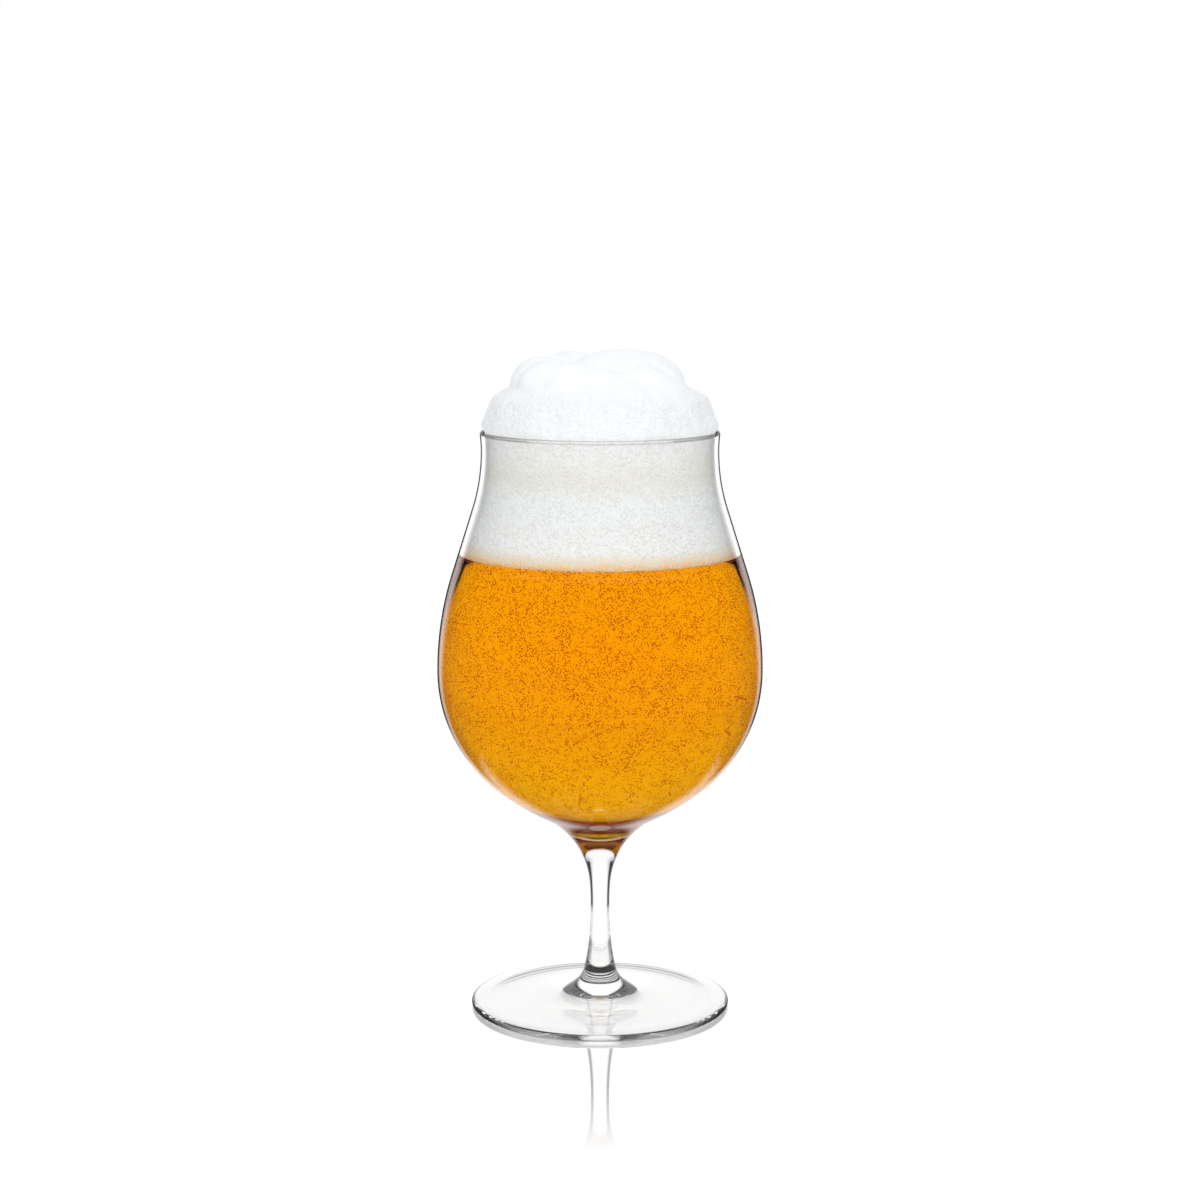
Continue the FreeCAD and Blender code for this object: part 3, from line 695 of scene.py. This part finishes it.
@dataclass
class Outline:
    """The sizes of the glass, in millimetres and degrees, and where its curves lie."""

    foot_diameter: float = 79.4
    foot_edge_thickness: float = 2.1
    foot_slope_angle: float = 5.9
    foot_kick_height: float = 3.0
    rest_ring_width: float = 1.2
    stem_diameter: float = 5.8
    stem_straight_length: float = 2.9
    stem_foot_sweep_radius: float = 86.0
    stem_foot_sweep_angle: float = 11.7
    stem_foot_flare_radius: float = 9.0
    stem_bowl_sweep_radius: float = 72.0
    stem_bowl_sweep_angle: float = 5.0
    stem_bowl_flare_radius: float = 26.0
    belly_diameter: float = 99.0
    belly_lower_radius: float = 46.2
    belly_lower_angle: float = 51.3
    bowl_bottom_radius: float = 80.7
    bowl_floor_radius: float = 14.0
    shoulder_height: float = 67.1
    shoulder_straight_length: float = 21.0
    shoulder_waist_share: float = 0.371
    rim_diameter: float = 72.6
    rim_flare: float = 0.45
    rim_height: float = 6.0
    wall_thickness: float = 1.5
    lip_rounding_share: float = 0.45
    fill_height: float = 35.8
    foam_neck_drop: float = 0.8

    def __post_init__(self) -> None:
        """Works out the centres of the curves from the sizes."""
        slope = radians(self.foot_slope_angle)
        turn = radians(self.stem_foot_sweep_angle)
        edge = self.foot_edge_thickness / 2
        stem = self.stem_diameter / 2
        reach = self.stem_foot_sweep_radius - self.stem_foot_flare_radius
        self.edge_centre = (self.foot_diameter / 2 - edge, edge)
        flare_out = stem + self.stem_foot_sweep_radius - reach * cos(turn)
        rise = self.stem_foot_flare_radius + (self.edge_centre[0] - flare_out) * sin(slope)
        rise += edge * (1 + cos(slope))
        self.foot_flare_centre = (flare_out, rise / cos(slope))
        sweep_level = self.foot_flare_centre[1] + reach * sin(turn)
        self.foot_sweep_centre = (stem + self.stem_foot_sweep_radius, sweep_level)

        reach = self.stem_bowl_sweep_radius - self.stem_bowl_flare_radius
        turn = radians(self.stem_bowl_sweep_angle)
        stem_top = self.foot_sweep_centre[1] + self.stem_straight_length
        self.bowl_sweep_centre = (stem + self.stem_bowl_sweep_radius, stem_top)
        flare_out = stem + self.stem_bowl_sweep_radius - reach * cos(turn)
        self.bowl_flare_centre = (flare_out, stem_top + reach * sin(turn))

        belly = self.belly_diameter / 2
        turn = radians(self.belly_lower_angle)
        reach = self.belly_lower_radius - self.bowl_bottom_radius
        bottom_out = belly - self.belly_lower_radius + reach * cos(turn)
        across = flare_out - bottom_out
        up = sqrt((self.bowl_bottom_radius + self.stem_bowl_flare_radius) ** 2 - across**2)
        self.bottom_centre = (bottom_out, self.bowl_flare_centre[1] + up)
        self.bottom_angle = degrees(atan2(up, across))
        self.belly_level = self.bottom_centre[1] + reach * sin(turn)
        self.lower_centre = (belly - self.belly_lower_radius, self.belly_level)

        self.waist = self.rim_diameter / 2 - self.rim_flare
        swell = belly - self.waist
        curving = (swell**2 + self.shoulder_height**2 - self.shoulder_straight_length**2) / (2 * swell)
        self.waist_radius = self.shoulder_waist_share * curving
        self.upper_radius = curving - self.waist_radius
        lean = atan2(self.shoulder_height, curving - swell) - atan2(self.shoulder_straight_length, curving)
        self.shoulder_angle = degrees(lean)
        self.waist_level = self.belly_level + self.shoulder_height
        self.upper_centre = (belly - self.upper_radius, self.belly_level)
        self.waist_centre = (self.waist + self.waist_radius, self.waist_level)
        self.rim_radius = (self.rim_flare**2 + self.rim_height**2) / (2 * self.rim_flare)
        self.rim_centre = (self.waist + self.rim_radius, self.waist_level)
        self.rim_level = self.waist_level + self.rim_height
        self.surface_level = self.belly_level + self.fill_height

    def floor(self, inset: float) -> tuple[Place, float, float]:
        """The rounded bottom of the inside.

        Args:
            inset: How far the skin lies inside the outside of the wall.

        Returns:
            The centre and radius of the rounding, and the angle where it meets the bottom curve.
        """
        radius = self.bowl_floor_radius - (inset - self.wall_thickness)
        drop = sqrt((self.bowl_bottom_radius - inset - radius) ** 2 - self.bottom_centre[0] ** 2)
        return (0.0, self.bottom_centre[1] - drop), radius, degrees(atan2(drop, -self.bottom_centre[0]))

    def straight_side(self, inset: float, height: float) -> Place:
        """The point at a height on the straight part of the shoulder.

        Args:
            inset: How far the skin lies inside the outside of the wall.
            height: The height of the point.

        Returns:
            The point, in radius and height.
        """
        foot = polar(self.upper_centre, self.upper_radius - inset, self.shoulder_angle)
        head = polar(self.waist_centre, self.waist_radius + inset, 180 + self.shoulder_angle)
        share = (height - foot[1]) / (head[1] - foot[1])
        return (foot[0] + share * (head[0] - foot[0]), height)


@dataclass
class Glass:
    """The blown glass: foot, stem, bowl and rounded rim in one skin."""

    outline: Outline
    finish: ClearGlass = field(default_factory=ClearGlass)
    sides: int = 256
    slope_steps: int = 8
    straight_steps: int = 4

    def foot_and_stem(self) -> Section:
        """Sweeps the section from the middle of the underside up to the bowl.

        Returns:
            The section, which ends at the bottom of the bowl's outside.
        """
        size = self.outline
        ring_in = size.edge_centre[0] - size.rest_ring_width
        hollow = (ring_in**2 + size.foot_kick_height**2) / (2 * size.foot_kick_height)
        section = Section(0, size.foot_kick_height)
        section.arc((0, size.foot_kick_height - hollow), degrees(acos(ring_in / hollow)) - 90, Steps.PLAIN)
        section.run(size.edge_centre[0], 0)
        section.arc(size.edge_centre, 180 - size.foot_slope_angle, Steps.FINE)
        slope_end = polar(size.foot_flare_centre, size.stem_foot_flare_radius, 270 - size.foot_slope_angle)
        section.run(*slope_end, self.slope_steps)
        flare = 90 - size.foot_slope_angle - size.stem_foot_sweep_angle
        section.arc(size.foot_flare_centre, -flare, Steps.FINE)
        section.arc(size.foot_sweep_centre, -size.stem_foot_sweep_angle, Steps.FINE)
        section.run(size.stem_diameter / 2, size.bowl_sweep_centre[1])
        section.arc(size.bowl_sweep_centre, -size.stem_bowl_sweep_angle, Steps.PLAIN)
        section.arc(size.bowl_flare_centre, size.stem_bowl_sweep_angle - size.bottom_angle, Steps.FINE)
        return section

    def build(self) -> bpy.types.Object:
        """Sweeps the rest of the section, spins it and dresses it.

        Returns:
            The glass.
        """
        size = self.outline
        wall = size.wall_thickness
        lip = size.lip_rounding_share * wall
        section = self.foot_and_stem()
        section.arc(size.bottom_centre, size.bottom_angle - size.belly_lower_angle, Steps.FINE)
        section.arc(size.lower_centre, size.belly_lower_angle, Steps.LONG)
        section.arc(size.upper_centre, size.shoulder_angle, Steps.FINE)
        straight_end = polar(size.waist_centre, size.waist_radius, 180 + size.shoulder_angle)
        section.run(*straight_end, self.straight_steps)
        section.arc(size.waist_centre, -size.shoulder_angle, Steps.FINE)

        lean = asin((size.rim_height - lip) / size.rim_radius)
        out_lean = asin((size.rim_height - lip * (1 + sin(lean))) / size.rim_radius)
        in_lean = asin((size.rim_height - lip * (1 - sin(lean))) / (size.rim_radius + wall))
        section.arc(size.rim_centre, -degrees(out_lean), Steps.SMALL)
        tip = section.tip.co
        centre = (tip.x - lip * cos(out_lean), tip.z + lip * sin(out_lean))
        section.arc(centre, 90 + degrees(out_lean), Steps.PLAIN)
        inner = polar(size.rim_centre, size.rim_radius + wall, 180 - degrees(in_lean))
        centre = (inner[0] + lip * cos(in_lean), inner[1] - lip * sin(in_lean))
        section.run(centre[0], centre[1] + lip)
        section.arc(centre, 90 - degrees(in_lean), Steps.PLAIN)
        section.arc(size.rim_centre, degrees(in_lean), Steps.SMALL)

        section.arc(size.waist_centre, size.shoulder_angle, Steps.FINE)
        straight_end = polar(size.upper_centre, size.upper_radius - wall, size.shoulder_angle)
        section.run(*straight_end, self.straight_steps)
        section.arc(size.upper_centre, -size.shoulder_angle, Steps.FINE)
        section.arc(size.lower_centre, -size.belly_lower_angle, Steps.LONG)
        centre, _, meet = size.floor(wall)
        section.arc(size.bottom_centre, size.belly_lower_angle - meet, Steps.FINE)
        section.arc(centre, meet - 90, Steps.FINE)
        piece = make_piece("blown_glass", section.turned(self.sides), self.finish.build())
        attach(piece, "root")
        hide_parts("glass")
        return piece


@dataclass
class Beer:
    """The beer in the bowl, with the bubbles that cling to the wall and rise through it."""

    outline: Outline
    finish: AmberBeer = field(default_factory=AmberBeer)
    clearance: float = -0.05
    sides: int = 256
    side_steps: int = 2
    surface_steps: int = 12

    def build(self) -> bpy.types.Object:
        """Turns the beer and dresses it.

        Returns:
            The beer.
        """
        size = self.outline
        inset = size.wall_thickness + self.clearance
        centre, radius, meet = size.floor(inset)
        section = Section(0, centre[1] - radius)
        section.arc(centre, 90 - meet, Steps.FINE)
        section.arc(size.bottom_centre, meet - size.belly_lower_angle, Steps.FINE)
        section.arc(size.lower_centre, size.belly_lower_angle, Steps.LONG)
        section.arc(size.upper_centre, size.shoulder_angle, Steps.FINE)
        section.run(*size.straight_side(inset, size.surface_level), self.side_steps)
        section.run(0, size.surface_level, self.surface_steps)
        piece = make_piece("beer_fill", section.turned(self.sides), self.finish.build())
        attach(piece, "root")
        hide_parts("beer")
        return piece


@dataclass
class Fizz:
    """The tiny bubbles that cling to the wall of the bowl and drift near it."""

    outline: Outline
    finish: TinyBubble = field(default_factory=TinyBubble)
    count: int = 4200
    radius: Place = (0.07, 0.20)
    depth: Place = (0.25, 1.6)
    clump_scale: float = 7.0
    lowest: float = 34.0
    below_surface: float = 0.4
    crowding: float = 0.5
    crowding_rise: float = 0.25
    seed: int = 11

    def wall(self, height: float) -> float:
        """The radius of the beer's side at a height.

        Args:
            height: The height, in millimetres.

        Returns:
            The radius, in millimetres.
        """
        size = self.outline
        inset = size.wall_thickness
        shoulder, lower = sin(radians(size.shoulder_angle)), sin(radians(size.belly_lower_angle))
        if height >= size.belly_level + (size.upper_radius - inset) * shoulder:
            return size.straight_side(inset, height)[0]
        if height >= size.belly_level:
            centre, reach = size.upper_centre, size.upper_radius - inset
        elif height >= size.belly_level - (size.belly_lower_radius - inset) * lower:
            centre, reach = size.lower_centre, size.belly_lower_radius - inset
        else:
            centre, reach = size.bottom_centre, size.bowl_bottom_radius - inset
        return centre[0] + sqrt(reach**2 - (height - centre[1]) ** 2)

    def build(self) -> bpy.types.Object:
        """Scatters the bubbles in clumps and dresses them.

        Returns:
            The bubbles, as one piece.
        """
        size = self.outline
        chance = random.Random(self.seed)
        bead = bmesh.new()
        bmesh.ops.create_icosphere(bead, subdivisions=1, radius=1.0)
        one = bpy.data.meshes.new("bubble_pattern")
        bead.to_mesh(one)
        bead.free()
        bm = bmesh.new()
        low = size.belly_level - self.lowest
        made = 0
        while made < self.count:
            height = chance.uniform(low, size.surface_level - self.below_surface)
            angle = chance.uniform(0, tau)
            radius = chance.uniform(*self.radius)
            inward = self.depth[0] + (self.depth[1] - self.depth[0]) * chance.random() ** 2
            reach = self.wall(height) - inward
            place = Vector((reach * cos(angle), reach * sin(angle), height))
            crowd = self.crowding + noise.noise(place / self.clump_scale)
            crowd += self.crowding_rise * (height - size.belly_level) / size.fill_height
            if chance.random() > crowd:
                continue
            matrix = Matrix.Translation(place * MM) @ Matrix.Scale(radius * MM, 4)
            one.transform(matrix)
            bm.from_mesh(one)
            one.transform(matrix.inverted())
            made += 1
        bpy.data.meshes.remove(one)
        piece = make_piece("tiny_bubbles", bm, self.finish.build())
        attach(piece, "root")
        return piece


@dataclass(frozen=True)
class Fold:
    """A soft roll of the crown, shaped like an egg, in millimetres above the rim and degrees."""

    reach: float
    heading: float
    lift: float
    width: float
    height: float

    def skin(self, start: Vector, ray: Vector) -> float:
        """How far along a ray the roll's skin lies, falling off steeply where the ray misses it.

        Args:
            start: Where the ray starts.
            ray: Its direction.

        Returns:
            The distance.
        """
        turn = radians(self.heading)
        middle = Vector((self.reach * cos(turn), self.reach * sin(turn), self.lift)) - start
        way = Vector((ray.x / self.width, ray.y / self.width, ray.z / self.height))
        off = Vector((middle.x / self.width, middle.y / self.width, middle.z / self.height))
        along = way.dot(off)
        length = way.length_squared
        spare = along**2 - length * (off.length_squared - 1)
        root = sqrt(spare) if spare > 0 else -2 * sqrt(-spare)
        return (along + root) / length


def soft_top(values: list[float], softness: float) -> float:
    """The highest of some values, rounded over where two are near each other.

    Args:
        values: The values.
        softness: How wide the rounding is; below 0 it gives the lowest value.

    Returns:
        The rounded highest or lowest value.
    """
    top = max(values) if softness > 0 else min(values)
    total = sum(exp((value - top) / softness) for value in values)
    return top + softness * log1p(total - 1)


@dataclass
class Foam:
    """The head of foam: what fills the neck, and the folded crown that stands above the rim."""

    outline: Outline
    clearance: float = 0.15
    rooted: float = 0.12
    sides: int = 480
    crease: float = 0.4
    skirt: tuple[Place, ...] = ((35.8, 0.34), (49.2, 1.714))
    skirt_top: float = 14.5
    dome_lift: float = 4.0
    free_lift: float = 2.4
    free_reach: float = 35.0
    dents: tuple[Place, ...] = ((0.8, 10.0), (0.35, 4.0))
    grit: tuple[Place, ...] = ((0.30, 1.9), (0.20, 0.9))
    grit_top: float = 14.0
    grit_fade: float = 5.0
    side_steps: int = 6
    neck_steps: int = 12
    folds: tuple[Fold, ...] = (
        Fold(17.6, 186, 13.4, 9.8, 8.7),
        Fold(16.6, 214, 13.0, 10.6, 8.7),
        Fold(15.8, 240, 12.4, 10.8, 8.6),
        Fold(14.6, 266, 11.6, 10.6, 8.2),
        Fold(14.0, 292, 10.4, 10.0, 7.9),
        Fold(16.4, 322, 11.6, 9.2, 8.6),
        Fold(17.2, 349, 12.6, 8.5, 7.4),
        Fold(17.2, 36, 12.4, 9.4, 8.6),
        Fold(15.6, 84, 12.8, 11.0, 9.8),
        Fold(14.6, 126, 13.2, 11.6, 9.8),
        Fold(13.4, 160, 12.8, 9.6, 9.4),
        Fold(7.6, 30, 12.6, 19.5, 11.5),
        Fold(14.0, 292, 6.0, 17.2, 11.6),
        Fold(14.5, 326, 6.0, 17.0, 12.6),
    )

    def skin(self, start: Vector, ray: Vector) -> float:
        """How far along a ray the crown's skin lies.

        Args:
            start: Where the ray starts, above the middle of the rim.
            ray: Its direction.

        Returns:
            The distance, in millimetres.
        """
        across = hypot(ray.x, ray.y)
        sides = [(reach - lean * start.z) / (across + lean * ray.z) for reach, lean in self.skirt]
        if ray.z > STEEP:
            sides.append((self.skirt_top - start.z) / ray.z)
        body = soft_top(sides, -self.crease)
        return soft_top([body] + [fold.skin(start, ray) for fold in self.folds], self.crease)

    def fold_crown(self, bm: bmesh.types.BMesh, centre: Vector, neck: Vector) -> None:
        """Presses the dome above the neck into folds, with a rougher skirt.

        Args:
            bm: The turned foam, in metres.
            centre: The middle of the dome, in millimetres.
            neck: Where the dome leaves the neck, in radius and height.
        """
        rim = Vector((0, 0, self.outline.rim_level))
        start = centre - rim
        begin = asin((neck.z - centre.z) / (neck - centre).length)
        free = asin((self.free_lift - start.z) / self.free_reach)
        for vert in bm.verts:
            spoke = vert.co / MM - centre
            length = spoke.length
            pitch = asin(max(-1, min(1, spoke.z / length)))
            if vert.co.z / MM < neck.z or pitch <= begin + WELD:
                continue
            ray = spoke / length
            reach = self.skin(start, ray)
            spot = start + reach * ray
            reach += sum(depth * noise.noise(spot / width) for depth, width in self.dents)
            rough = max(0.0, min(1.0, (self.grit_top - spot.z) / self.grit_fade))
            reach += rough * sum(depth * noise.noise(spot / width) for depth, width in self.grit)
            ease = max(0.0, min(1.0, (pitch - begin) / (free - begin)))
            ease = ease * ease * (3 - 2 * ease)
            vert.co = (centre + ray * (length + ease * (reach - length))) * MM

    def build(self) -> bpy.types.Object:
        """Turns the foam, shapes its crown and dresses it.

        Returns:
            The foam.
        """
        size = self.outline
        inset = size.wall_thickness + self.clearance
        base = size.surface_level - self.rooted
        side = size.straight_side(inset, base)
        section = Section(0, base)
        section.run(*side, self.side_steps)
        waist = polar(size.waist_centre, size.waist_radius + inset, 180 + size.shoulder_angle)
        section.run(*waist, self.neck_steps)
        section.arc(size.waist_centre, -size.shoulder_angle, Steps.FINE)
        leave = size.rim_height - size.foam_neck_drop
        section.arc(size.rim_centre, -degrees(asin(leave / (size.rim_radius + inset))), Steps.SMALL)
        neck = section.tip.co.copy()
        centre = Vector((0, 0, size.rim_level + self.dome_lift))
        turn = 90 + degrees(asin((centre.z - neck.z) / (neck - centre).length))
        section.arc((centre.x, centre.z), turn, Steps.CROWN)
        bm = section.turned(self.sides)
        self.fold_crown(bm, centre, neck)
        finish = BeerFoam(size.surface_level * MM, size.rim_level * MM)
        piece = make_piece("foam_crown", bm, finish.build())
        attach(piece, "root")
        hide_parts("foam_head")
        return piece


@dataclass
class Studio:
    """The table, the light and the camera."""

    table: TableTop = field(default_factory=TableTop)
    table_radius: float = 5.0
    camera_place: Point = (0.0, -0.7886, 0.2488)
    camera_tilt: float = 81.18
    lens: float = 78.88
    glass_bounces: int = 24
    backdrop_light: float = 1.08
    even_light: float = 0.88
    front_light: float = 1.26
    side_tint: Colour = (0.40, 0.45, 0.50, 1.0)
    gloom: float = 0.03
    high_gloom: float = 0.4
    high: Place = (0.5, 0.8)
    side_fade: Place = (0.3, 1.0)
    front_fade: Place = (-1.0, 0.2)
    lamp_place: Point = (0.12, -0.5, 1.2)
    lamp_aim: Point = (0, 0, 0.15)
    lamp_width: float = 0.7
    lamp_watts: float = 2.0

    def make_table(self) -> None:
        """Lays the table top."""
        bm = bmesh.new()
        bmesh.ops.create_circle(bm, cap_ends=True, radius=self.table_radius, segments=128)
        piece = make_piece("table_top", bm, self.table.build())

    def light_world(self) -> None:
        """Makes the world: white to the eye, and an even light on the object."""
        world = bpy.data.worlds.new("studio_light")
        world.use_nodes = True
        bpy.context.scene.world = world
        world.node_tree.nodes.clear()
        graph = Graph(world.node_tree)
        path = graph.add("LightPath").outputs
        heading = graph.add("TexCoord").outputs["Generated"]
        parts = graph.add("SeparateXYZ", {0: heading}).outputs
        sideways = graph.math("ABSOLUTE", parts["X"])
        soft = graph.blend(graph.span(sideways, *self.side_fade), WHITE, self.side_tint)
        facing = graph.span(parts["Y"], *self.front_fade, self.front_light, self.even_light)
        even = graph.add("Background", {"Color": soft, "Strength": facing})
        white = graph.add("Background", {"Color": WHITE, "Strength": 1.0})
        aside = graph.math("SUBTRACT", 1.0, backdrop_share(graph, heading, self.table.backdrop_half_width))
        mirrored = thrown_back(graph, path)
        dark = graph.math("MULTIPLY", aside, mirrored)
        dark = graph.math("MULTIPLY", dark, graph.span(parts["Z"], *self.high, 1.0, self.high_gloom))
        light = graph.span(dark, 0, 1, self.backdrop_light, self.gloom)
        room = graph.add("Background", {"Color": WHITE, "Strength": light})
        bent = graph.math("MAXIMUM", path["Is Transmission Ray"], path["Is Glossy Ray"])
        plain = graph.mix(path["Is Camera Ray"], even, white)
        graph.feed(graph.add("OutputWorld").inputs["Surface"], graph.mix(bent, plain, room))

    def hang_lamp(self) -> None:
        """Hangs one soft lamp over the front of the table."""
        light = bpy.data.lights.new("soft_lamp", "AREA")
        light.shape = "DISK"
        light.size = self.lamp_width
        light.energy = self.lamp_watts
        lamp = bpy.data.objects.new("soft_lamp", light)
        lamp.location = self.lamp_place
        lamp.rotation_euler = (Vector(self.lamp_aim) - lamp.location).to_track_quat("-Z", "Y").to_euler()
        lamp.visible_glossy = False
        lamp.visible_transmission = False
        bpy.context.scene.collection.objects.link(lamp)

    def set_camera(self) -> None:
        """Sets the camera where the photograph was taken from."""
        camera = bpy.data.objects.new("camera", bpy.data.cameras.new("camera"))
        camera.data.sensor_width = 36.0
        camera.data.lens = self.lens
        camera.data.clip_start = 0.01
        camera.location = self.camera_place
        camera.rotation_euler = (radians(self.camera_tilt), 0, 0)
        bpy.context.scene.collection.objects.link(camera)
        bpy.context.scene.camera = camera

    def build(self) -> None:
        """Sets up the whole studio."""
        self.set_camera()
        self.make_table()
        self.light_world()
        self.hang_lamp()
        scene = bpy.context.scene
        scene.view_settings.view_transform = "Standard"
        scene.cycles.max_bounces = self.glass_bounces
        scene.cycles.glossy_bounces = self.glass_bounces
        scene.cycles.transmission_bounces = self.glass_bounces


def main() -> None:
    """Builds the glass, what is in it and the studio, in order."""
    logging.basicConfig(level=logging.INFO, format="%(name)s: %(message)s")
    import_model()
    outline = Outline()
    log.info("rim at %.2f mm, beer up to %.2f mm", outline.rim_level, outline.surface_level)
    Studio().build()
    for part in (Glass(outline), Beer(outline), Fizz(outline), Foam(outline)):
        piece = part.build()
        log.info("%s: %d faces", piece.name, len(piece.data.polygons))


if __name__ == "__main__":
    main()
